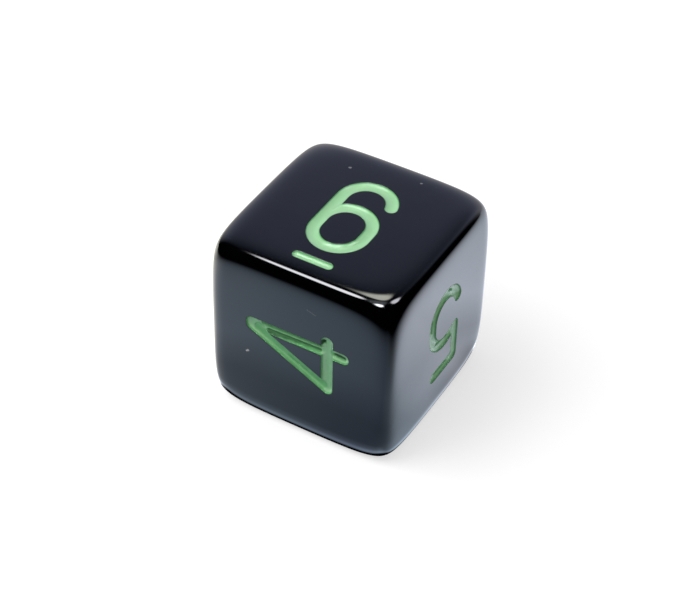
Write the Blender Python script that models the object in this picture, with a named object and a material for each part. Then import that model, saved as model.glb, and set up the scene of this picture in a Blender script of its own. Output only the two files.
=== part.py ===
"""A six-sided numbered gaming die: a moulded cube with rounded edges and corners, whose
engraved numerals 1 to 6 are each filled with ink. Opposite faces add up to seven, and 1, 2
and 3 run anticlockwise round their corner. +Z is the face of the six, the four faces -Y and
the five faces +X. The origin is the centre of the cube."""

import math

import bmesh
import bpy
from mathutils import Matrix, Vector

MM = 0.001

# Body
SIZE = 16.0 * MM  # from face to face
EDGE_RADIUS = 1.15 * MM
CORNER_REACH = 12.8 * MM  # tumbling wears the corners towards a sphere of this radius
CORNER_BLEND = 1.4 * MM  # how gradually the faces and edges run into that sphere
BAND_LINES = 4  # parts of the rounded border, from where a face ends to the middle of an edge
CORNER_LINES = (4.35 * MM, 5.1 * MM, 5.7 * MM, 6.3 * MM)  # further lines, for the corners only

# Engraved grooves
GROOVE_WIDTH = 1.1 * MM
UNDERLINE_WIDTH = 0.8 * MM
GROOVE_DEPTH = 0.36 * MM
GROOVE_BEVEL = 0.14 * MM  # takes off the corner between the groove's walls and its floor
BAR_TOP = 0.5 * MM  # how far the bars that make the numerals stand out of the face

# Ink
INK_GAP = 0.02 * MM  # between the ink and the groove that holds it
INK_LEVEL = 0.12 * MM  # the ink's surface lies this far below the face

# Numerals, measured along the middle of the stroke from the centre of the face
HALF_HEIGHT = 3.95 * MM
BOWL = 2.0 * MM  # radius of the round strokes
SIX_BOWL_RISE = 0.88 * MM  # straight part of the six's bowl
TOP_ARC = HALF_HEIGHT - BOWL  # height of the centre of a numeral's upper round
BOTTOM_ARC = BOWL - HALF_HEIGHT
UNDERLINE_HEIGHT = -5.8 * MM
UNDERLINE_HALF = 1.34 * MM
ARC_STEP = 12.0  # degrees between the points of a round stroke
CAP_STEPS = 7  # parts of the half circle that ends a stroke

BLACK_PLASTIC = {"colour": (0.010, 0.011, 0.015, 1.0), "roughness": 0.12}
GREEN_INK = {"colour": (0.27, 0.60, 0.27, 1.0), "roughness": 0.35}


def clear_scene():
    for old in list(bpy.data.objects):
        bpy.data.objects.remove(old)


def collection(name, hidden=False):
    made = bpy.data.collections.new(name)
    bpy.context.scene.collection.children.link(made)
    made.hide_render = hidden
    return made


def material(name, colour, roughness):
    made = bpy.data.materials.new(name)
    made.use_nodes = True
    shader = made.node_tree.nodes["Principled BSDF"]
    shader.inputs["Base Color"].default_value = colour
    shader.inputs["Roughness"].default_value = roughness
    shader.inputs["Metallic"].default_value = 0.0
    return made


def move_to(obj, target):
    for owner in list(obj.users_collection):
        owner.objects.unlink(obj)
    target.objects.link(obj)


# --- strokes -------------------------------------------------------------------------------


def arc(centre, radius, start, end):
    """Points round a circle, from start to end degrees, anticlockwise if end is larger."""
    steps = max(1, math.ceil(abs(end - start) / ARC_STEP))
    angles = [math.radians(start + (end - start) * i / steps) for i in range(steps + 1)]
    return [Vector((centre[0] + radius * math.cos(a), centre[1] + radius * math.sin(a))) for a in angles]


def line(*points):
    return [Vector(p) for p in points]


def numeral_one():
    top, flag = HALF_HEIGHT, 1.3 * MM
    stem = 0.35 * MM
    return [
        line((stem, top), (stem, -HALF_HEIGHT)),
        line((stem, top), (stem - flag, top - flag)),
    ]


def numeral_two():
    leave = -35.0  # the angle at which the round turns into the slanting stroke
    corner = (-BOWL, -HALF_HEIGHT)
    return [
        arc((0, TOP_ARC), BOWL, 168, leave) + line(corner),
        line(corner, (BOWL, -HALF_HEIGHT)),
    ]


def numeral_three():
    upper, lower = 1.9 * MM, 2.05 * MM
    return [
        arc((0, HALF_HEIGHT - upper), upper, 160, -90),
        arc((0, lower - HALF_HEIGHT), lower, 90, -160),
    ]


def numeral_four():
    stem, apex = 1.75 * MM, 1.48 * MM
    bar_height, bar_left, bar_right = -2.6 * MM, -1.93 * MM, 2.77 * MM
    return [
        line((bar_left, bar_height), (apex, HALF_HEIGHT)),
        line((apex, HALF_HEIGHT), (stem, HALF_HEIGHT)),
        line((stem, HALF_HEIGHT), (stem, -HALF_HEIGHT)),
        line((bar_left, bar_height), (bar_right, bar_height)),
    ]


def numeral_five():
    left, right, top = -2.2 * MM, 0.95 * MM, 3.85 * MM
    belly_x, belly_top, belly_bottom = -0.5 * MM, -0.85 * MM, -1.55 * MM
    shoulder = (left, 0.72 * MM)
    return [
        line((right, top), (left, top)),
        line((left, top), shoulder),
        line(shoulder)
        + arc((belly_x, belly_top), BOWL, 110, 0)
        + arc((belly_x, belly_bottom), BOWL, 0, -162),
    ]


def numeral_six():
    bowl_top = BOTTOM_ARC + SIX_BOWL_RISE
    return [
        arc((0, TOP_ARC), BOWL, 12, 180) + arc((0, BOTTOM_ARC), BOWL, 180, 360),
        arc((0, bowl_top), BOWL, 0, 180),
        line((BOWL, bowl_top), (BOWL, BOTTOM_ARC)),
    ]


def underline():
    return [line((-UNDERLINE_HALF, UNDERLINE_HEIGHT), (UNDERLINE_HALF, UNDERLINE_HEIGHT))]


def outline(path, half_width):
    """The closed outline of a stroke of constant width with round ends."""
    directions = [(b - a).normalized() for a, b in zip(path, path[1:])]
    normals = []
    for before, after in zip(directions[:1] + directions, directions + directions[-1:]):
        along = (before + after).normalized()
        normals.append(Vector((-along.y, along.x)) / along.dot(after))
    left = [p + n * half_width for p, n in zip(path, normals)]
    right = [p - n * half_width for p, n in zip(path, normals)]

    def cap(centre, first_side):
        turns = [Matrix.Rotation(-math.pi * i / CAP_STEPS, 2) for i in range(1, CAP_STEPS)]
        return [centre + turn @ (first_side * half_width) for turn in turns]

    return left + cap(path[-1], normals[-1]) + right[::-1] + cap(path[0], -normals[0])


# --- solids --------------------------------------------------------------------------------


def stroke_solid(name, path, width, floor, bevel):
    """A bar along the path, standing from the floor up out of the face, with bevelled rims."""
    curve = bpy.data.curves.new(name, "CURVE")
    curve.dimensions = "2D"
    curve.fill_mode = "BOTH"
    curve.extrude = (BAR_TOP - floor) / 2 - bevel
    curve.bevel_depth = bevel
    curve.bevel_resolution = 0
    curve.offset = -bevel
    points = outline(path, width / 2)
    spline = curve.splines.new("POLY")
    spline.points.add(len(points) - 1)
    for point, place in zip(spline.points, points):
        point.co = (place.x, place.y, 0, 1)
    spline.use_cyclic_u = True
    drawn = bpy.data.objects.new(name, curve)
    bpy.context.scene.collection.objects.link(drawn)
    bpy.context.view_layer.update()
    evaluated = drawn.evaluated_get(bpy.context.evaluated_depsgraph_get())
    mesh = bpy.data.meshes.new_from_object(evaluated)
    bpy.data.objects.remove(drawn)

    shape = bmesh.new()
    shape.from_mesh(mesh)
    bmesh.ops.remove_doubles(shape, verts=shape.verts, dist=1e-7)
    bmesh.ops.translate(shape, verts=shape.verts, vec=(0, 0, (BAR_TOP + floor) / 2))
    bmesh.ops.recalc_face_normals(shape, faces=shape.faces)
    shape.to_mesh(mesh)
    shape.free()
    return bpy.data.objects.new(name, mesh)


def boolean(obj, other, operation):
    modifier = obj.modifiers.new(f"{operation.lower()} {other.name}", "BOOLEAN")
    modifier.operation = operation
    modifier.object = other
    modifier.solver = "EXACT"


def glyph_solid(name, strokes, width, floor, bevel, face, target, helpers):
    """The strokes of one numeral as a single solid, placed on its face of the cube."""
    bars = [stroke_solid(f"{name}_bar_{i}", path, width, floor, bevel) for i, path in enumerate(strokes)]
    whole = bars[0]
    whole.name = name
    target.objects.link(whole)
    for bar in bars[1:]:
        helpers.objects.link(bar)
        bar.display_type = "WIRE"
        bar.hide_render = True
        bar.matrix_world = face
        boolean(whole, bar, "UNION")
    whole.matrix_world = face
    return whole


def face_frame(normal, up):
    """Where a numeral stands: x to its right, y to its top and z out of the die."""
    outward, upward = Vector(normal), Vector(up)
    turn = Matrix((upward.cross(outward), upward, outward)).transposed().to_4x4()
    return Matrix.Translation(outward * SIZE / 2) @ turn


GLYPHS = [
    # node, strokes, width of the groove, the face's normal, the numeral's up
    ("ink_one", numeral_one, GROOVE_WIDTH, (0, 0, -1), (0, 1, 0)),
    ("ink_two", numeral_two, GROOVE_WIDTH, (-1, 0, 0), (0, 0, 1)),
    ("ink_three", numeral_three, GROOVE_WIDTH, (0, 1, 0), (1, 0, 0)),
    ("ink_four", numeral_four, GROOVE_WIDTH, (0, -1, 0), (-1, 0, 0)),
    ("ink_five", numeral_five, GROOVE_WIDTH, (1, 0, 0), (0, 0, -1)),
    ("ink_six", numeral_six, GROOVE_WIDTH, (0, 0, 1), (0, 1, 0)),
    ("ink_six_underline", underline, UNDERLINE_WIDTH, (0, 0, 1), (0, 1, 0)),
]


def rounded_cube_reach(direction):
    """Distance from the centre to a cube with round edges, along a unit direction."""
    core = SIZE / 2 - EDGE_RADIUS
    sides = sorted((abs(side) for side in direction), reverse=True)
    for count in (1, 2, 3):  # a flat face, then a round edge, then a round corner
        total = sum(sides[:count])
        squares = sum(side * side for side in sides[:count])
        root = (core * total) ** 2 - squares * (count * core**2 - EDGE_RADIUS**2)
        reach = (core * total + math.sqrt(max(root, 0.0))) / squares
        if count == 3 or reach * sides[count] <= core:
            return reach


def tumbled_reach(direction):
    """The same after tumbling, which has worn the corners down."""
    reach = rounded_cube_reach(direction)
    blend = max(1 - abs(reach - CORNER_REACH) / CORNER_BLEND, 0.0)
    return min(reach, CORNER_REACH) - blend**2 * CORNER_BLEND / 4


def die_blank(target):
    """The cube before engraving, cut into a grid and pulled onto its rounded shape."""
    shape = bmesh.new()
    bmesh.ops.create_cube(shape, size=SIZE)
    band = [SIZE / 2 - EDGE_RADIUS * i / BAND_LINES for i in range(1, BAND_LINES + 1)]
    for level in band + list(CORNER_LINES):
        for axis in Matrix.Identity(3):
            for plane in (axis * level, -axis * level):
                everything = shape.verts[:] + shape.edges[:] + shape.faces[:]
                bmesh.ops.bisect_plane(shape, geom=everything, plane_co=plane, plane_no=axis)
    for vertex in shape.verts:
        direction = vertex.co.normalized()
        vertex.co = direction * tumbled_reach(direction)
    mesh = bpy.data.meshes.new("die_body")
    shape.to_mesh(mesh)
    shape.free()
    body = bpy.data.objects.new("die_body", mesh)
    target.objects.link(body)
    return body


def engrave(body, name, strokes, width, face, helpers):
    cutter = glyph_solid(f"{name}_groove", strokes, width, -GROOVE_DEPTH, GROOVE_BEVEL, face, helpers, helpers)
    cutter.display_type = "WIRE"
    cutter.hide_render = True
    boolean(body, cutter, "DIFFERENCE")


def ink_level_block(helpers):
    """A cube as large as the die between its inks' surfaces. The ink stays inside it."""
    bpy.ops.mesh.primitive_cube_add(size=SIZE - 2 * INK_LEVEL)
    block = bpy.context.object
    block.name = "ink_level_block"
    block.display_type = "WIRE"
    block.hide_render = True
    move_to(block, helpers)
    return block


def fill_with_ink(name, strokes, width, face, level_block, parts, helpers):
    ink_width, ink_floor = width - 2 * INK_GAP, INK_GAP - GROOVE_DEPTH
    ink = glyph_solid(name, strokes, ink_width, ink_floor, GROOVE_BEVEL, face, parts, helpers)
    boolean(ink, level_block, "INTERSECT")
    return ink


def shade(obj):
    obj.data.shade_smooth()
    obj.data.set_sharp_from_angle(angle=math.radians(35))


def main():
    clear_scene()
    parts = collection("gaming_die")
    helpers = collection("cutters", hidden=True)
    plastic = material("black plastic", **BLACK_PLASTIC)
    ink = material("green ink", **GREEN_INK)

    body = die_blank(parts)
    body.data.materials.append(plastic)
    level_block = ink_level_block(helpers)
    for name, strokes, width, normal, up in GLYPHS:
        face = face_frame(normal, up)
        engrave(body, name, strokes(), width, face, helpers)
        fill = fill_with_ink(name, strokes(), width, face, level_block, parts, helpers)
        fill.data.materials.append(ink)
        shade(fill)
    shade(body)


main()
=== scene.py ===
"""The looks of the numbered gaming die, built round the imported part.

The body is remade as one fine mesh: a tumbled cube whose engraved strokes have rounded lips
and a rounded floor. Each ink is a skin of paint lying in its groove, pooled in some places
and starved in others. Shapes are worked out in millimetres, in each face's own frame: x to
the numeral's right, y to its top and z out of the die.
"""

import math

import bpy
import numpy as np
from mathutils import Matrix, Vector
from mathutils.geometry import delaunay_2d_cdt


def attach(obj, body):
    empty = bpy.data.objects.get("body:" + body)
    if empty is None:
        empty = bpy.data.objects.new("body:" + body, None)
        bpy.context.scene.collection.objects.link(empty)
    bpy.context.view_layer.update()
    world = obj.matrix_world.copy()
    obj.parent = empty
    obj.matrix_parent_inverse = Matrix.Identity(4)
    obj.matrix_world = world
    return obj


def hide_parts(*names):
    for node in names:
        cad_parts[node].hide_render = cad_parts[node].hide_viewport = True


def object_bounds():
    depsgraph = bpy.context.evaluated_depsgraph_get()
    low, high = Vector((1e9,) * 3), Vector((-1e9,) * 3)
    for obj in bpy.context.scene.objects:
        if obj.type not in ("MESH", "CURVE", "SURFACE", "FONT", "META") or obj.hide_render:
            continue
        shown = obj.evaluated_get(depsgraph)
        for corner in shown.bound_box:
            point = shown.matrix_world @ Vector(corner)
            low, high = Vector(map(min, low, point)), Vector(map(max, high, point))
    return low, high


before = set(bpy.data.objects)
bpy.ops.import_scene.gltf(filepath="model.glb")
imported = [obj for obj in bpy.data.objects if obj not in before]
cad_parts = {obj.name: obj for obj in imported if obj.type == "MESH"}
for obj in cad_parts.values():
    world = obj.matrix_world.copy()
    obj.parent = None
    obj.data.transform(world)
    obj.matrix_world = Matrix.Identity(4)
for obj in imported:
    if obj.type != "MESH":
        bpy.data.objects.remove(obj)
cad_low, cad_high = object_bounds()

MM = 0.001
HALF = round((cad_high.z - cad_low.z) / 2 / MM, 4)  # rounded, so that the faces' borders meet
CENTRE = (cad_low + cad_high) / 2

# --- sizes of the body, in millimetres ---------------------------------------------------

FLATNESS = 18.2  # the higher it is, the flatter the faces and the sharper the edges
CORNER_REACH = 13.0  # tumbling wears the corners towards a sphere of this radius
CORNER_SHARPNESS = 20.0  # how sharply the faces and edges run into that sphere
CORNER_START = 4.35  # a face is flat out to here even beside a corner
CONTACT = 6.85  # where the face under the die leaves the floor
GRID_PARTS = (5, 12, 12)  # mesh lines over the flat, the corner and the rounded border

# --- sizes of the engraving --------------------------------------------------------------

STROKE = 1.1  # width of a numeral's groove
UNDERLINE_STROKE = 0.8
DEPTH = 0.36
LIP = 0.01  # the rounded lip starts this far outside the groove's nominal edge
WALL = 0.25  # breadth of the sloping wall, from the lip to the floor
WALL_RINGS = 11
FLOOR_RINGS = 4
APRON = (0.12, 0.38)  # mesh rings on the face around the lip
GRID_CLEAR = 0.2  # the face's grid stays this far outside the last ring
STEP = 0.075  # distance between mesh points along a stroke
SEAM = 1e-5  # points closer than this are one point
WELD = 10 * SEAM  # points that round to the same multiple of this are joined
OPEN_END = 20 * SEAM  # a ring that ends this far off another stroke's ring is carried across it
NUDGE = 1e-3  # half the span over which a surface's slope is measured

# --- sizes of the paint ------------------------------------------------------------------

BRIMMING = (0.20, 2.0)  # the paint's depth along the middle, and how steeply it climbs
SUNKEN = (0.24, 3.0)
PAINT_INSET = 0.04  # how far inside the groove's nominal edge the paint ends
PAINT_EDGE = 0.02  # depth at which the paint meets the wall
WALL_FILM = 0.03  # the least paint on the wall, and its share of the wall's depth
WALL_SHARE = 0.6
PAINT_FILM = 0.004  # what is left where a groove is starved of paint
PAINT_SKIN = 0.004  # the paint's underside reaches this far into the plastic
STARVED_SOFT = 0.14  # breadth of the change from full to starved
RAGGED = [
    # waves in the edge of a starved place: how high, and how dense along x and along y
    (0.010, 5.1, 7.3),
    (0.004, -11.0, 17.0),
]

# --- numerals ----------------------------------------------------------------------------

TALL = 3.95  # from the middle of a face to the middle of the top or bottom stroke
BOWL = 2.0
SIX_RISE = 0.88  # straight part of the six's bowl
TOP_ARC = TALL - BOWL
BOTTOM_ARC = BOWL - TALL
UNDERLINE_Y = -5.8
UNDERLINE_HALF = 1.34


class Line:
    """A straight piece of a stroke."""

    def __init__(self, start, end):
        self.start, self.end = np.array(start, float), np.array(end, float)

    def distance(self, points):
        along = self.end - self.start
        share = np.clip((points - self.start) @ along / (along @ along), 0, 1)
        return np.linalg.norm(points - self.start - share[:, None] * along, axis=1)

    def path(self):
        """Points along the piece, and the direction to its left at each."""
        along = self.end - self.start
        length = np.linalg.norm(along)
        share = np.linspace(0, 1, max(2, math.ceil(length / STEP) + 1))[:, None]
        left = np.array([-along[1], along[0]]) / length
        return self.start + share * along, np.repeat([left], len(share), axis=0)


class Arc:
    """A round piece of a stroke, from one angle to another, in degrees."""

    def __init__(self, centre, radius, start, end):
        self.centre, self.radius = np.array(centre, float), radius
        self.start, self.end = start, end

    def spot(self, degrees):
        angle = np.radians(degrees)
        return self.centre + self.radius * np.stack([np.cos(angle), np.sin(angle)], axis=-1)

    def distance(self, points):
        offset = points - self.centre
        angle = np.degrees(np.arctan2(offset[:, 1], offset[:, 0]))
        low, high = sorted((self.start, self.end))
        beside = (angle - low) % 360 <= high - low
        from_ends = [np.linalg.norm(points - self.spot(end), axis=1) for end in (low, high)]
        from_round = np.abs(np.linalg.norm(offset, axis=1) - self.radius)
        return np.where(beside, from_round, np.minimum(*from_ends))

    def path(self):
        length = math.radians(abs(self.end - self.start)) * self.radius
        degrees = np.linspace(self.start, self.end, math.ceil(length / STEP) + 1)
        points = self.spot(degrees)
        inward = (self.centre - points) / self.radius
        return points, inward if self.end > self.start else -inward


def numeral_one():
    stem, flag = 0.35, 1.3
    return [Line((stem, TALL), (stem, -TALL)), Line((stem, TALL), (stem - flag, TALL - flag))]


def numeral_two():
    leave = -35.0  # the angle at which the round turns into the slanting stroke
    corner = (-BOWL, -TALL)
    top = Arc((0, TOP_ARC), BOWL, 168, leave)
    return [top, Line(top.spot(leave), corner), Line(corner, (BOWL, -TALL))]


def numeral_three():
    upper, lower = 1.9, 2.05
    return [
        Arc((0, TALL - upper), upper, 160, -90),
        Arc((0, lower - TALL), lower, 90, -160),
    ]


def numeral_four():
    stem, apex = 1.75, 1.48
    bar_height, bar_left, bar_right = -2.6, -1.93, 2.77
    return [
        Line((bar_left, bar_height), (apex, TALL)),
        Line((apex, TALL), (stem, TALL)),
        Line((stem, TALL), (stem, -TALL)),
        Line((bar_left, bar_height), (bar_right, bar_height)),
    ]


def numeral_five():
    left, right, top, shoulder = -2.2, 0.95, 3.85, 0.72
    belly_x, belly_top, belly_bottom = -0.5, -0.85, -1.55
    upper = Arc((belly_x, belly_top), BOWL, 110, 0)
    return [
        Line((right, top), (left, top)),
        Line((left, top), (left, shoulder)),
        Line((left, shoulder), upper.spot(110)),
        upper,
        Line((belly_x + BOWL, belly_top), (belly_x + BOWL, belly_bottom)),
        Arc((belly_x, belly_bottom), BOWL, 0, -162),
    ]


def numeral_six():
    bowl_top = BOTTOM_ARC + SIX_RISE
    return [
        Arc((0, TOP_ARC), BOWL, 12, 180),
        Line((-BOWL, TOP_ARC), (-BOWL, BOTTOM_ARC)),
        Arc((0, BOTTOM_ARC), BOWL, 180, 360),
        Line((BOWL, BOTTOM_ARC), (BOWL, bowl_top)),
        Arc((0, bowl_top), BOWL, 0, 180),
    ]


def underline():
    return [Line((-UNDERLINE_HALF, UNDERLINE_Y), (UNDERLINE_HALF, UNDERLINE_Y))]


# Where a groove is starved of paint, and on the five also painted shade: from a point, to a
# point, how broad, and how much
THIN_FOUR = [
    ((1.38, 2.6), (1.52, -1.9), 0.15, 0.95),
    ((1.90, 3.0), (2.05, -1.9), 0.19, 0.85),
    ((1.66, -3.2), (1.60, -3.95), 0.17, 1.0),
    ((-1.80, -2.1), (1.30, 3.4), 0.45, 0.32),
    ((-1.75, -1.9), (-0.35, 0.9), 0.05, 0.8),
    ((-1.9, -2.95), (2.5, -2.95), 0.10, 0.32),
    ((2.62, -2.2), (2.52, -2.04), 0.20, 1.0),
]
# On the five, these dark lines are partly missing paint and partly painted shade of the
# groove's wall
FIVE_STARVED_AND_SHADED = [
    ((-1.5, 4.1), (0.4, 4.05), 0.08, 0.6),
    ((-1.2, 1.2), (0.4, 0.95), 0.08, 0.7),
    ((-1.6, -3.2), (-1.3, -3.35), 0.10, 0.8),
    ((1.3, -1.0), (1.2, -2.0), 0.08, 0.5),
]

GLYPHS = [
    # node, strokes, groove's width, face's normal, numeral's up, how full, starved places
    ("ink_one", numeral_one, STROKE, (0, 0, -1), (0, 1, 0), BRIMMING, []),
    ("ink_two", numeral_two, STROKE, (-1, 0, 0), (0, 0, 1), BRIMMING, []),
    ("ink_three", numeral_three, STROKE, (0, 1, 0), (1, 0, 0), BRIMMING, []),
    ("ink_four", numeral_four, STROKE, (0, -1, 0), (-1, 0, 0), SUNKEN, THIN_FOUR),
    ("ink_five", numeral_five, STROKE, (1, 0, 0), (0, 0, -1), SUNKEN, FIVE_STARVED_AND_SHADED),
    ("ink_six", numeral_six, STROKE, (0, 0, 1), (0, 1, 0), BRIMMING, []),
    ("ink_six_underline", underline, UNDERLINE_STROKE, (0, 0, 1), (0, 1, 0), BRIMMING, []),
]


def smooth_step(share):
    """Zero to one as the share goes from zero to one, and level at both ends."""
    share = np.clip(share, 0, 1)
    return share**3 * (share * (6 * share - 15) + 10)


class Groove:
    """One engraved numeral, and the paint in it."""

    def __init__(self, name, strokes, width, normal, up, fill, starved):
        self.name = name
        self.pieces = strokes()
        self.lip = width / 2 + LIP
        self.floor = self.lip - WALL
        self.paint_edge = width / 2 - PAINT_INSET
        self.level, self.curve = fill
        self.starved = [(Line(start, end), broad, much) for start, end, broad, much in starved]
        self.face = (tuple(normal), tuple(up))

    def distances(self, points):
        """How far each point is from the middle of the nearest and the next piece."""
        every = np.stack([piece.distance(points) for piece in self.pieces])
        every.sort(axis=0)
        return every[0], (every[1] if len(every) > 1 else np.full(len(points), np.inf))

    def height(self, points):
        """The engraved surface, counted from the face."""
        nearest, _ = self.distances(points)
        return -DEPTH * smooth_step((self.lip - nearest) / WALL)

    def paint(self, points):
        """How thick the paint is."""
        nearest, _ = self.distances(points)
        climb = (nearest / self.paint_edge) ** self.curve
        level = -self.level + (self.level - PAINT_EDGE) * climb
        bare = self.height(points)
        full = np.maximum(level - bare, np.minimum(WALL_FILM, -WALL_SHARE * bare))
        ragged = sum(high * np.sin(points @ np.array(dense)) for high, *dense in RAGGED)
        # On the five, some starved places are painted shade of the groove's wall
        lack = np.zeros(len(points))
        for line, broad, much in self.starved:
            share = (broad + STARVED_SOFT / 2 + ragged - line.distance(points)) / STARVED_SOFT
            lack = np.maximum(lack, much * smooth_step(share))
        return np.minimum(full * (1 - lack) + PAINT_FILM * lack, full)

    def rings(self, levels):
        """Mesh points round the strokes at each distance, and the edges that join them."""
        points, edges, count = [], [], 0
        for level in levels:
            for piece in self.pieces:
                ring = ring_round(piece, level)
                nearest, second = self.distances(ring)
                outside = nearest >= level - SEAM
                free_end = second > level + OPEN_END
                following = np.roll(np.arange(len(ring)), -1)
                both = outside & outside[following]
                crossing = (outside & free_end & ~outside[following]) | (
                    ~outside & outside[following] & free_end[following]
                )
                joined = np.nonzero(both | crossing)[0]
                edges.append(np.stack([joined, following[joined]], axis=1) + count)
                points.append(ring)
                count += len(ring)
        points, edges = np.concatenate(points), np.concatenate(edges)
        return keep_used(points, edges)

    def spine(self):
        """Mesh points along the middle of the strokes."""
        return np.concatenate([piece.path()[0] for piece in self.pieces])


def keep_used(points, edges):
    """The points that the edges or triangles use, and these counted anew."""
    used = np.unique(edges)
    place = np.zeros(len(points), int)
    place[used] = np.arange(len(used))
    return points[used], place[edges]


def ring_round(piece, level):
    """The closed line at one distance round a piece of stroke."""
    path, left = piece.path()
    steps = max(4, math.ceil(math.pi * level / STEP))
    turns = [math.pi * i / steps for i in range(1, steps)]

    def cap(centre, side):
        ahead = np.array([side[1], -side[0]])
        ways = [side * math.cos(turn) + ahead * math.sin(turn) for turn in turns]
        return np.array([centre + level * way for way in ways])

    return np.concatenate(
        [
            path + level * left,
            cap(path[-1], left[-1]),
            (path - level * left)[::-1],
            cap(path[0], -left[0]),
        ]
    )


def triangulate(points, edges):
    """Points and triangles of the flat mesh that holds the points and the edges."""
    made = delaunay_2d_cdt(
        [Vector(p) for p in points.tolist()], edges.tolist(), [], 0, SEAM, False
    )
    flat = np.array([(v.x, v.y) for v in made[0]])
    return flat, np.array(made[2], int)


# --- the tumbled cube --------------------------------------------------------------------


def tumbled(points):
    """Where points of a face's square land on the tumbled cube, in the face's frame."""
    cube = np.column_stack([points, np.full(len(points), HALF)])
    directions = cube / np.linalg.norm(cube, axis=1)[:, None]
    sides = (np.abs(directions) / HALF) ** FLATNESS
    nearness = sides.sum(axis=1) ** (1 / FLATNESS)
    worn = nearness**CORNER_SHARPNESS + CORNER_REACH**-CORNER_SHARPNESS
    return directions / (worn ** (1 / CORNER_SHARPNESS))[:, None]


def engraved(points, grooves):
    """The same with the grooves cut into it."""
    placed = tumbled(points)
    for groove in grooves:
        placed[:, 2] += groove.height(points)
    return placed


def slopes(surface, points):
    """Unit normals of a surface given as a function of a face's square."""
    east, north = np.array([NUDGE, 0]), np.array([0, NUDGE])
    across = surface(points + east) - surface(points - east)
    along = surface(points + north) - surface(points - north)
    normals = np.cross(across, along)
    return normals / np.linalg.norm(normals, axis=1)[:, None]


def grid_lines():
    parts = [(0, CORNER_START), (CORNER_START, CONTACT), (CONTACT, HALF)]
    half = [np.linspace(low, high, n + 1)[1:] for (low, high), n in zip(parts, GRID_PARTS)]
    half = np.concatenate(half)
    return np.concatenate([-half[::-1], [0], half])


def face_points(grooves):
    """Mesh points and edges of one face: a grid, with rings round its numerals."""
    lines = grid_lines()
    grid = np.stack(np.meshgrid(lines, lines), axis=-1).reshape(-1, 2)
    clear = np.ones(len(grid), bool)
    points, edges, count = [], [], 0
    for groove in grooves:
        levels = list(np.linspace(0, groove.floor, FLOOR_RINGS)[1:])
        levels += list(np.linspace(groove.floor, groove.lip, WALL_RINGS + 1)[1:])
        levels += [groove.lip + far for far in APRON]
        ring_points, ring_edges = groove.rings(levels)
        spine = groove.spine()
        points += [ring_points, spine]
        edges.append(ring_edges + count)
        count += len(ring_points) + len(spine)
        nearest, _ = groove.distances(grid)
        clear &= nearest > groove.lip + APRON[-1] + GRID_CLEAR
    points.append(grid[clear])
    return np.concatenate(points), np.concatenate(edges)


def face_matrix(face):
    """Turns a face's frame into the die's, still about the die's centre."""
    outward, upward = (Vector(side) for side in face)
    return np.array(Matrix((upward.cross(outward), upward, outward)).transposed())


def new_object(name, points, triangles, normals):
    """A smooth mesh object from points in millimetres about the die's centre."""
    mesh = bpy.data.meshes.new(name)
    mesh.from_pydata((points * MM + np.array(CENTRE)).tolist(), [], triangles.tolist())
    mesh.shade_smooth()
    mesh.normals_split_custom_set_from_vertices(normals.tolist())
    made = bpy.data.objects.new(name, mesh)
    bpy.context.scene.collection.objects.link(made)
    return made


def weld(points, triangles):
    """Joins points that lie together: which are kept, and the triangles between them."""
    keys = np.round(points / WELD).astype(np.int64)
    _, kept, place = np.unique(keys, axis=0, return_index=True, return_inverse=True)
    triangles = place.reshape(-1)[triangles]
    whole = np.array([len(set(t)) == 3 for t in triangles.tolist()])
    return kept, triangles[whole]


def build_body(grooves):
    points, triangles, normals, count = [], [], [], 0
    for face in dict.fromkeys(groove.face for groove in grooves):
        here = [groove for groove in grooves if groove.face == face]
        flat, faces = triangulate(*face_points(here))
        turn = face_matrix(face)
        points.append(engraved(flat, here) @ turn.T)
        normals.append(slopes(lambda at: engraved(at, here), flat) @ turn.T)
        triangles.append(faces + count)
        count += len(flat)
    points, normals = np.concatenate(points), np.concatenate(normals)
    kept, triangles = weld(points, np.concatenate(triangles))
    return new_object("tumbled_body", points[kept], triangles, normals[kept])


def paint_sheet(groove):
    """Flat mesh points and triangles that fill the painted part of a groove."""
    levels = list(np.linspace(0, groove.floor, FLOOR_RINGS + 2)[1:])
    levels += list(np.linspace(groove.floor, groove.paint_edge, WALL_RINGS)[1:])
    ring_points, ring_edges = groove.rings(levels)
    flat, faces = triangulate(np.concatenate([ring_points, groove.spine()]), ring_edges)
    kept, faces = weld(flat, faces)
    flat = flat[kept]
    middles = flat[faces].mean(axis=1)
    nearest, _ = groove.distances(middles)
    return keep_used(flat, faces[nearest < groove.paint_edge - SEAM])


def closed_skin(faces, count):
    """Triangles of a sheet, of the same sheet upside down under it, and of the rim between."""
    rim = rim_edges(faces)
    here, following = rim[:, 0], rim[:, 1]
    side = [
        np.column_stack([following, here, here + count]),
        np.column_stack([following, here + count, following + count]),
    ]
    return np.concatenate([faces, faces[:, ::-1] + count, *side])


def build_paint(groove, neighbours):
    """The paint in one groove: its top as it dried, and its underside in the plastic."""
    flat, faces = paint_sheet(groove)

    def top(at):
        placed = engraved(at, neighbours)
        placed[:, 2] += groove.paint(at)
        return placed

    under = engraved(flat, neighbours)
    under[:, 2] -= PAINT_SKIN
    normals = slopes(top, flat)
    turn = face_matrix(groove.face)
    made = new_object(
        groove.name.replace("ink", "paint"),
        np.concatenate([top(flat), under]) @ turn.T,
        closed_skin(faces, len(flat)),
        np.concatenate([normals, -normals]) @ turn.T,
    )
    depth = groove.paint(flat)
    thickness = made.data.attributes.new("thickness", "FLOAT", "POINT")
    thickness.data.foreach_set("value", np.concatenate([depth, depth]).astype(np.float32))
    return made


def rim_edges(triangles):
    """The edges that only one triangle has, in that triangle's direction."""
    edges = np.concatenate([triangles[:, [0, 1]], triangles[:, [1, 2]], triangles[:, [2, 0]]])
    keys = np.sort(edges, axis=1)
    _, place, times = np.unique(keys, axis=0, return_inverse=True, return_counts=True)
    return edges[times[place.reshape(-1)] == 1]


# --- materials ---------------------------------------------------------------------------

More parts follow.
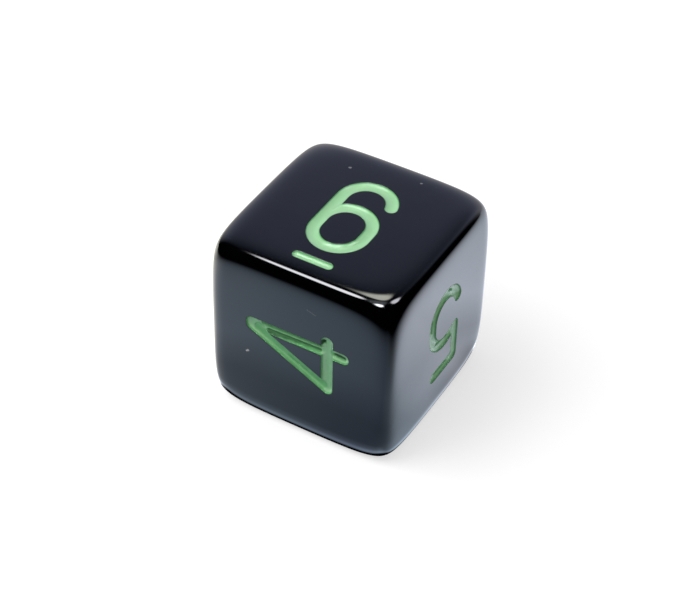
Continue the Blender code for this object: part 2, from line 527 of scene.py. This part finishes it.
# A ramp is four numbers: from one value to another, and the results at the two. Where only two
# are given, the results are 0 and 1. A noise is how dense it is, how detailed and how rough.
# Heights are in millimetres.

BLACK = (0.0004, 0.0005, 0.0007, 1.0)
DUST = (0.55, 0.55, 0.56, 1.0)
SMEAR_NOISE = (0.22, 3.0, 0.6)
SMEAR_ROUGH = (0.35, 0.7, 0.05, 0.09)  # the ramp from the clean places to the smeared ones
GRAIN_NOISE, GRAIN_ROUGH = (9.0, 2.0, 0.5), 0.02
WAVE_NOISE, WAVE_HIGH = (0.30, 1.0, 0.5), 0.006
SCRATCHES = [
    # hairline scratches: how dense they are, how thin, and where in the noise they lie
    (0.55, 0.004, 3.0),
    (0.9, 0.005, 11.0),
]
SCRATCH_PATCHES = 2.3  # they lie in patches, and the patches' noise is this much denser
PATCH_EDGE = (0.52, 0.62)
SCRATCH_ROUGH, SCRATCH_HIGH = 0.06, -0.0003
MARKS = [
    # dust and nicks: from a point to a point on the body, half the breadth, and how pale
    ((-4.46, -8.0, -1.46), (-4.32, -8.0, -1.34), 0.12, 1.0),
    ((0.9, -8.0, 5.22), (1.6, -8.0, 5.0), 0.08, 0.12),
    ((-3.28, 5.1, 8.0), (-3.2, 5.14, 8.0), 0.12, 0.35),
    ((2.38, 6.25, 8.0), (2.44, 6.28, 8.0), 0.11, 0.3),
]
MARK_CORE = 0.4  # the share of a mark's breadth that is fully pale
DUST_ROUGH, DUST_HIGH = 0.5, 0.02

GREENS = [(0.15, 0.50, 0.18, 1.0), (0.20, 0.56, 0.23, 1.0)]  # the two that mottle the paint
# Pale green: pooled paint, and also a painted highlight on the middle of thick strokes
POOLED_AND_LIT_GREEN = (0.48, 0.82, 0.48, 1.0)
BARE_GROOVE = (0.003, 0.005, 0.005, 1.0)
COVERING = 0.020  # each such thickness of paint hides about two thirds of what still shows
POOLED_AND_LIT = (0.08, 0.16, 0.0, 0.7)  # the ramp by which thicker paint is paler: pooled paint with a painted highlight on it
PAINT_ROUGH = (0.06, 0.15, 0.46, 0.20)  # and glossier
MOTTLE_NOISE, MOTTLED = (2.2, 4.0, 0.6), (0.3, 0.7)
MOTTLE_ROUGH, MOTTLE_HIGH = 0.08, 0.012
FINE_NOISE, FINE_HIGH = (30.0, 2.0, 0.5), 0.003


class Graph:
    """A small helper that adds nodes to a material's or world's tree."""

    def __init__(self, owner):
        owner.use_nodes = True
        self.tree = owner.node_tree
        self.tree.nodes.clear()

    def add(self, kind, inputs=None, **settings):
        node = self.tree.nodes.new(kind)
        for name, value in settings.items():
            setattr(node, name, value)
        for name, value in (inputs or {}).items():
            self.plug(node.inputs[name], value)
        return node

    def plug(self, socket, value):
        if isinstance(value, bpy.types.NodeSocket):
            self.tree.links.new(value, socket)
        else:
            socket.default_value = value

    def math(self, operation, *values):
        node = self.add("ShaderNodeMath", operation=operation)
        for socket, value in zip(node.inputs, values):
            self.plug(socket, value)
        return node.outputs[0]

    def plus(self, total, value, share):
        """A total with a share of a value on top."""
        return self.math("ADD", total, self.math("MULTIPLY", value, share))

    def times(self, product, *factors):
        for factor in factors:
            product = self.math("MULTIPLY", product, factor)
        return product

    def vector(self, operation, *values):
        node = self.add("ShaderNodeVectorMath", operation=operation)
        for socket, value in zip(node.inputs, values):
            self.plug(socket, value)
        return node

    def ramp(self, value, low, high, start=0.0, end=1.0):
        """Value carried smoothly from low..high to start..end."""
        node = self.add("ShaderNodeMapRange", interpolation_type="SMOOTHSTEP")
        for socket, setting in zip(node.inputs, (value, low, high, start, end)):
            self.plug(socket, setting)
        return node.outputs[0]

    def mix(self, share, first, second):
        node = self.add("ShaderNodeMix", data_type="RGBA")
        self.plug(node.inputs[0], share)
        self.plug(node.inputs[6], first)
        self.plug(node.inputs[7], second)
        return node.outputs[2]

    def stops(self, value, colours):
        """Colours along a value from 0 to 1, given as positions and colours."""
        node = self.add("ShaderNodeValToRGB")
        elements = node.color_ramp.elements
        for extra in colours[2:]:
            elements.new(extra[0])
        for element, (position, colour) in zip(elements, colours):
            element.position = position
            element.color = (*colour, 1.0)
        self.plug(node.inputs[0], value)
        return node.outputs[0]

    def ellipse(self, place, centre, radii, soft):
        """One inside an upright ellipse of the place's X and Y, and softly zero outside."""
        offset = self.vector("SUBTRACT", place, (*centre, 0)).outputs[0]
        offset = self.vector("DIVIDE", offset, (*radii, 1)).outputs[0]
        flat = self.vector("MULTIPLY", offset, (1, 1, 0)).outputs[0]
        away = self.vector("LENGTH", flat).outputs["Value"]
        return self.ramp(away, 1 - soft, 1 + soft, 1.0, 0.0)

    def away_from(self, place, start, end):
        """How far a place is from the straight piece between two points."""
        along = Vector(end) - Vector(start)
        offset = self.vector("SUBTRACT", place, Vector(start)).outputs[0]
        pace = along / along.length_squared
        share = self.vector("DOT_PRODUCT", offset, pace).outputs["Value"]
        share = self.add("ShaderNodeClamp", {"Value": share}).outputs[0]
        nearest = self.add("ShaderNodeVectorMath", {"Scale": share}, operation="SCALE")
        nearest.inputs[0].default_value = along
        return self.vector("DISTANCE", offset, nearest.outputs[0]).outputs["Value"]

    def noise(self, place, scale, detail, roughness=0.5):
        inputs = {"Vector": place, "Scale": scale, "Detail": detail, "Roughness": roughness}
        return self.add("ShaderNodeTexNoise", inputs).outputs[0]

    def bump(self, relief):
        """The normal of a surface with this relief, in millimetres."""
        inputs = {"Strength": 1.0, "Distance": MM, "Height": relief}
        return self.add("ShaderNodeBump", inputs).outputs[0]

    def surface(self, looks):
        """Ends a material with a surface of these looks."""
        shader = self.add("ShaderNodeBsdfPrincipled", looks)
        self.add("ShaderNodeOutputMaterial", {"Surface": shader.outputs[0]})

    def choose(self, share, first, second):
        """Mixes two shaders."""
        node = self.add("ShaderNodeMixShader")
        for socket, value in zip(node.inputs, (share, first, second)):
            self.plug(socket, value)
        return node.outputs[0]

    def millimetres(self):
        """The place on the object, in millimetres from its origin."""
        place = self.add("ShaderNodeTexCoord").outputs["Object"]
        scaled = self.add("ShaderNodeVectorMath", {"Scale": 1 / MM}, operation="SCALE")
        self.plug(scaled.inputs[0], place)
        return scaled.outputs[0]


def hairlines(graph, place, scale, thin, seed):
    """Fine curved scratches: the places where a slow noise passes its middle value."""
    shifted = graph.vector("ADD", place, (seed, -seed, 2 * seed)).outputs[0]
    value = graph.noise(shifted, scale, detail=0.0)
    near = graph.math("ABSOLUTE", graph.math("SUBTRACT", value, 0.5))
    line = graph.ramp(near, 0.0, thin, 1.0, 0.0)
    patches = graph.noise(shifted, scale * SCRATCH_PATCHES, detail=1.0)
    return graph.times(line, graph.ramp(patches, *PATCH_EDGE))


def dust_and_nicks(graph, place):
    """How pale the marks on the body are at each place."""
    most = 0.0
    for start, end, broad, pale in MARKS:
        away = graph.away_from(place, start, end)
        here = graph.ramp(away, broad * MARK_CORE, broad, pale, 0.0)
        most = graph.math("MAXIMUM", most, here)
    return most


def plastic():
    """Black cast plastic with a tumbled gloss, faint smears and hairline scratches."""
    material = bpy.data.materials.new("glossy black plastic")
    graph = Graph(material)
    place = graph.millimetres()
    smear = graph.noise(place, *SMEAR_NOISE)
    grain = graph.noise(place, *GRAIN_NOISE)
    scratches = graph.math("MAXIMUM", *(hairlines(graph, place, *kind) for kind in SCRATCHES))
    dust = dust_and_nicks(graph, place)

    rough = graph.plus(graph.ramp(smear, *SMEAR_ROUGH), grain, GRAIN_ROUGH)
    rough = graph.plus(rough, scratches, SCRATCH_ROUGH)
    rough = graph.plus(rough, dust, DUST_ROUGH)

    relief = graph.times(graph.noise(place, *WAVE_NOISE), WAVE_HIGH)
    relief = graph.plus(relief, scratches, SCRATCH_HIGH)
    relief = graph.plus(relief, dust, DUST_HIGH)

    looks = {
        "Base Color": graph.mix(dust, BLACK, DUST),
        "Roughness": rough,
        "IOR": 1.5,
        "Normal": graph.bump(relief),
    }
    graph.surface(looks)
    return material


def paint():
    """Green paint: paler where it pools, with a painted highlight there; dark where the plastic
    shows through, and on the five that is also painted shade.
    """
    material = bpy.data.materials.new("green paint")
    graph = Graph(material)
    place = graph.millimetres()
    thickness = graph.add("ShaderNodeAttribute", attribute_name="thickness").outputs["Fac"]
    thinned = graph.math("DIVIDE", thickness, -COVERING)
    cover = graph.math("SUBTRACT", 1.0, graph.math("EXPONENT", thinned))
    mottle = graph.noise(place, *MOTTLE_NOISE)
    fine = graph.noise(place, *FINE_NOISE)
    paint_colour = graph.mix(graph.ramp(mottle, *MOTTLED), *GREENS)
    # Thicker paint turns paler: pooled paint, and also a painted highlight
    paint_colour = graph.mix(graph.ramp(thickness, *POOLED_AND_LIT), paint_colour, POOLED_AND_LIT_GREEN)
    relief = graph.plus(graph.times(fine, FINE_HIGH), mottle, MOTTLE_HIGH)
    looks = {
        "Base Color": graph.mix(cover, BARE_GROOVE, paint_colour),
        "Roughness": graph.plus(graph.ramp(thickness, *PAINT_ROUGH), mottle, MOTTLE_ROUGH),
        "Normal": graph.bump(relief),
        "Subsurface Weight": 0.1,
        "Subsurface Radius": (0.5, 1.0, 0.5),
        "Subsurface Scale": 0.1 * MM,
    }
    graph.surface(looks)
    return material


# --- the studio --------------------------------------------------------------------------

FLOOR_SIZE = 1.2  # metres
WHITE = (1.0, 1.0, 1.0, 1.0)
PAPER = (0.60, 0.60, 0.60, 1.0)  # to the camera: its colour, and a glow that lifts it to white
PAPER_GLOW = 0.60
DULL_PAPER = (0.20, 0.20, 0.20, 1.0)  # what the matt surfaces get back from it

# What the die mirrors: a painted reflection, for the paper glows only to glossy rays. The
# ramps' places are in millimetres from the die's middle.

MIRRORED_PAPER = [
    # the paper's colour by direction: from the back round by the left, the front and the
    # right to the back again
    (0.00, (0.52, 0.52, 0.56)),
    (0.12, (0.62, 0.60, 0.56)),
    (0.21, (1.80, 1.76, 1.60)),
    (0.27, (2.60, 2.56, 2.36)),
    (0.33, (1.60, 1.60, 1.54)),
    (0.365, (0.74, 0.80, 0.90)),
    (0.39, (0.44, 0.53, 0.65)),
    (0.44, (0.35, 0.45, 0.57)),
    (0.53, (0.25, 0.32, 0.43)),
    (0.58, (0.22, 0.28, 0.39)),
    (0.64, (0.34, 0.43, 0.54)),
    (0.71, (0.54, 0.64, 0.76)),
    (0.76, (0.80, 0.90, 1.06)),
    (0.83, (1.00, 1.08, 1.24)),
    (0.91, (0.60, 0.66, 0.76)),
    (0.99, (0.52, 0.52, 0.56)),
]
PAPER_FRONT = (-36.0, -19.0, 0.0, 2.5)  # along Y it brightens, in front of the die
PAPER_LEFT = (-34.0, -21.0, 0.6, 1.0)  # along X it is a little dimmer far out to the left
PAPER_RIGHT = (8.0, 31.0, 1.0, 0.0)  # and it ends on the right
PAPER_TURN, PAPER_SLANT = 9.0, 0.55  # beyond this Y its right end slants outward
WIDER_RIGHT = (4.0, 9.0, 0.0, 0.3)  # along X the gap to the die counts as this much wider
PAPER_NEAR_SHADE = [
    # painted shade: how much of it is left close to the die, by the gap in centimetres
    (0.12, (0.00, 0.00, 0.00)),
    (0.15, (0.55, 0.55, 0.55)),
    (0.25, (0.60, 0.60, 0.60)),
    (0.50, (0.62, 0.62, 0.62)),
    (0.90, (1.00, 1.00, 1.00)),
]
FOOT_GLOW = [
    # painted light: how much brighter it is along the die's front, by the gap in centimetres
    (0.12, (1.00, 1.00, 1.00)),
    (0.145, (4.80, 4.80, 4.80)),
    (0.170, (4.80, 4.80, 4.80)),
    (0.20, (2.40, 2.40, 2.40)),
    (0.26, (1.00, 1.00, 1.00)),
]
GLOW_ALONG = (-9.0, 9.0, 0.25, 0.80)  # along X that glow grows
GLOW_END = (7.2, 8.6, 1.0, 0.0)  # and it ends at the right corner
# Painted shadow: on the die's right, close to its foot, the paper darkens along Y, as in the
# die's shadow
BESIDE = (6.5, 8.5)  # along X
FOOT = (0.18, 0.35, 1.0, 0.0)  # by the gap in centimetres
SHADED = (-6.0, 4.0, 1.30, 0.63)


def gap_to_die(graph, axes):
    """How far a place is from the square on which the die stands, in centimetres."""
    gaps = [graph.math("SUBTRACT", graph.math("ABSOLUTE", axis), CONTACT) for axis in axes[:2]]
    gaps = [graph.math("MAXIMUM", gap, 0.0) for gap in gaps]
    squares = [graph.math("POWER", gap, 2.0) for gap in gaps]
    gap = graph.math("SQRT", graph.math("ADD", *squares))
    gap = graph.math("ADD", gap, graph.ramp(axes[0], *WIDER_RIGHT))
    return graph.math("DIVIDE", gap, 10.0)


def painted_reflection_paper(graph):
    """Painted reflection: the paper as the polished faces mirror it, glowing for glossy rays
    only: bright behind the die, dark before it.
    """
    axes = graph.add("ShaderNodeSeparateXYZ", {"Vector": graph.millimetres()}).outputs
    angle = graph.math("ARCTAN2", axes[0], graph.times(axes[1], -1.0))
    turn = graph.math("ADD", graph.math("DIVIDE", angle, 2 * math.pi), 0.5)
    colour = graph.stops(turn, MIRRORED_PAPER)
    beyond = graph.math("MAXIMUM", graph.math("SUBTRACT", axes[1], PAPER_TURN), 0.0)
    slanted = graph.math("SUBTRACT", axes[0], graph.times(beyond, PAPER_SLANT))
    gap = gap_to_die(graph, axes)
    # Painted light: the paper glows brighter along the die's front
    glow_share = graph.times(graph.ramp(axes[0], *GLOW_END), graph.ramp(axes[0], *GLOW_ALONG))
    glow = graph.mix(glow_share, WHITE, graph.stops(gap, FOOT_GLOW))
    # Painted shadow of the die on the paper, on its right
    beside = graph.times(graph.ramp(axes[0], *BESIDE), graph.ramp(gap, *FOOT))
    shade = graph.math("SUBTRACT", graph.ramp(axes[1], *SHADED), 1.0)
    bright = graph.times(
        graph.ramp(axes[1], *PAPER_FRONT),
        graph.ramp(slanted, *PAPER_RIGHT),
        graph.ramp(axes[0], *PAPER_LEFT),
        # painted shade close to the die
        graph.stops(gap, PAPER_NEAR_SHADE),
        glow,
        graph.math("MULTIPLY_ADD", beside, shade, 1.0),
    )
    return graph.add("ShaderNodeEmission", {"Color": colour, "Strength": bright}).outputs[0]


def lit_paper(graph):
    """The paper as the camera sees it: white, with only a pale shadow."""
    paper = graph.add("ShaderNodeBsdfDiffuse", {"Color": PAPER})
    glow = graph.add("ShaderNodeEmission", {"Color": WHITE, "Strength": PAPER_GLOW})
    both = graph.add("ShaderNodeAddShader")
    graph.plug(both.inputs[0], paper.outputs[0])
    graph.plug(both.inputs[1], glow.outputs[0])
    return both.outputs[0]


def floor_material():
    material = bpy.data.materials.new("white paper")
    graph = Graph(material)
    rays = graph.add("ShaderNodeLightPath").outputs
    dull = graph.add("ShaderNodeBsdfDiffuse", {"Color": DULL_PAPER}).outputs[0]
    shader = graph.choose(rays["Is Camera Ray"], dull, lit_paper(graph))
    # To glossy rays the paper glows: a painted reflection
    shader = graph.choose(rays["Is Glossy Ray"], shader, painted_reflection_paper(graph))
    graph.add("ShaderNodeOutputMaterial", {"Surface": shader})
    return material


def build_floor():
    bpy.ops.mesh.primitive_plane_add(size=FLOOR_SIZE, location=(CENTRE.x, CENTRE.y, cad_low.z))
    floor = bpy.context.object
    floor.name = "floor"
    floor.data.materials.append(floor_material())


BACKDROP = [
    # the mirrored backdrop by the sine of the elevation: pale at the horizon, then navy
    (0.00, (1.10, 1.10, 1.25)),
    (0.30, (1.05, 1.05, 1.25)),
    (0.41, (0.90, 0.95, 1.20)),
    (0.53, (0.64, 0.72, 1.00)),
    (0.60, (0.50, 0.56, 0.82)),
    (0.645, (0.36, 0.41, 0.60)),
    (0.71, (0.24, 0.27, 0.41)),
    (0.77, (0.15, 0.18, 0.28)),
    (0.90, (0.00, 0.00, 0.00)),
]
OVERHEAD = [
    # bright shapes overhead, by the X and Y of their directions: centre, radii, softness
    # and colour
    ((-0.04, 0.03), (0.16, 0.25), 0.40, (1.3, 1.4, 1.5)),
    ((-0.18, 0.42), (0.14, 0.11), 0.35, (8.2, 8.4, 7.4)),
    ((0.32, 0.36), (0.17, 0.11), 0.30, (12.0, 12.0, 13.2)),
    ((0.05, -0.19), (0.12, 0.15), 0.35, (30.0, 31.0, 32.0)),
    ((-0.35, -0.03), (0.11, 0.17), 0.30, (19.0, 19.0, 20.0)),
]
AMBIENT = (0.45, 0.45, 0.45, 1.0)
DARK = (0.0, 0.0, 0.0, 1.0)
# The backdrop is dark at the back, except on the right, by the level direction's Y and X
DARK_BACK = (0.0, 0.6)
DARK_RIGHT = (0.35, 0.66, 1.0, 0.0)


def build_world():
    """Even light for the matt surfaces, and a studio for the glossy ones to mirror."""
    world = bpy.data.worlds.new("studio")
    bpy.context.scene.world = world
    world.cycles.sampling_method = "NONE"
    graph = Graph(world)
    direction = graph.add("ShaderNodeTexCoord").outputs["Generated"]
    axes = graph.add("ShaderNodeSeparateXYZ", {"Vector": direction}).outputs
    backdrop = graph.stops(axes[2], BACKDROP)
    level = graph.vector("MULTIPLY", direction, (1, 1, 0)).outputs[0]
    level = graph.vector("NORMALIZE", level).outputs[0]
    compass = graph.add("ShaderNodeSeparateXYZ", {"Vector": level}).outputs
    share = graph.times(graph.ramp(compass[0], *DARK_RIGHT), graph.ramp(compass[1], *DARK_BACK))
    mirrored = graph.mix(share, DARK, backdrop)
    for centre, radii, soft, colour in OVERHEAD:
        share = graph.ellipse(direction, centre, radii, soft)
        mirrored = graph.mix(share, mirrored, (*colour, 1.0))
    rays = graph.add("ShaderNodeLightPath").outputs
    seen = graph.mix(rays["Is Glossy Ray"], AMBIENT, mirrored)
    seen = graph.mix(rays["Is Camera Ray"], seen, WHITE)
    background = graph.add("ShaderNodeBackground", {"Color": seen, "Strength": 1.0})
    graph.add("ShaderNodeOutputWorld", {"Surface": background.outputs[0]})


LAMP_FROM = (-0.50, -0.36, 0.79)  # the direction of the lamp, from the die
LAMP_AWAY = 0.5
LAMP_SIZE = 0.40
LAMP_POWER = 1.6


def build_lamp():
    """A square lamp half a metre from the die, which shines at it and isn't mirrored."""
    light = bpy.data.lights.new("key", "AREA")
    light.size = LAMP_SIZE
    light.energy = LAMP_POWER
    lamp = bpy.data.objects.new("key", light)
    away = Vector(LAMP_FROM).normalized()
    lamp.location = CENTRE + away * LAMP_AWAY
    lamp.rotation_euler = (-away).to_track_quat("-Z", "Y").to_euler()
    lamp.visible_glossy = False
    bpy.context.scene.collection.objects.link(lamp)


AZIMUTH = 29.44  # the camera's place, in degrees, and its distance
ELEVATION = 41.52
CAMERA_DISTANCE = 142.6 * MM
CAMERA_ROLL = 1.41
CAMERA_LENS = 94.55
AIM_RIGHT, AIM_UP = -0.06 * MM, -0.214 * MM  # the point that it looks at, from the die's centre


def build_camera():
    camera = bpy.data.objects.new("camera", bpy.data.cameras.new("camera"))
    camera.data.lens = CAMERA_LENS
    camera.data.clip_start = 0.01
    camera.data.clip_end = 10.0
    azimuth, elevation = math.radians(AZIMUTH), math.radians(ELEVATION)
    back = Vector(
        (
            math.sin(azimuth) * math.cos(elevation),
            -math.cos(azimuth) * math.cos(elevation),
            math.sin(elevation),
        )
    )
    turn = (-back).to_track_quat("-Z", "Y").to_matrix()
    aim = CENTRE + turn @ Vector((AIM_RIGHT, AIM_UP, 0))
    look = (aim - CENTRE - back * CAMERA_DISTANCE).to_track_quat("-Z", "Y").to_matrix()
    look = look @ Matrix.Rotation(math.radians(CAMERA_ROLL), 3, "Z")
    camera.matrix_world = Matrix.Translation(CENTRE + back * CAMERA_DISTANCE) @ look.to_4x4()
    bpy.context.scene.collection.objects.link(camera)
    bpy.context.scene.camera = camera


def build_studio():
    build_floor()
    build_world()
    build_lamp()
    build_camera()
    bpy.context.scene.view_settings.view_transform = "Standard"


def main():
    grooves = [Groove(*glyph) for glyph in GLYPHS]
    body = build_body(grooves)
    body.data.materials.append(plastic())
    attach(body, "root")
    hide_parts("die_body")
    green = paint()
    for groove in grooves:
        neighbours = [other for other in grooves if other.face == groove.face]
        skin = build_paint(groove, neighbours)
        skin.data.materials.append(green)
        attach(skin, "root")
        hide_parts(groove.name)
    build_studio()


main()
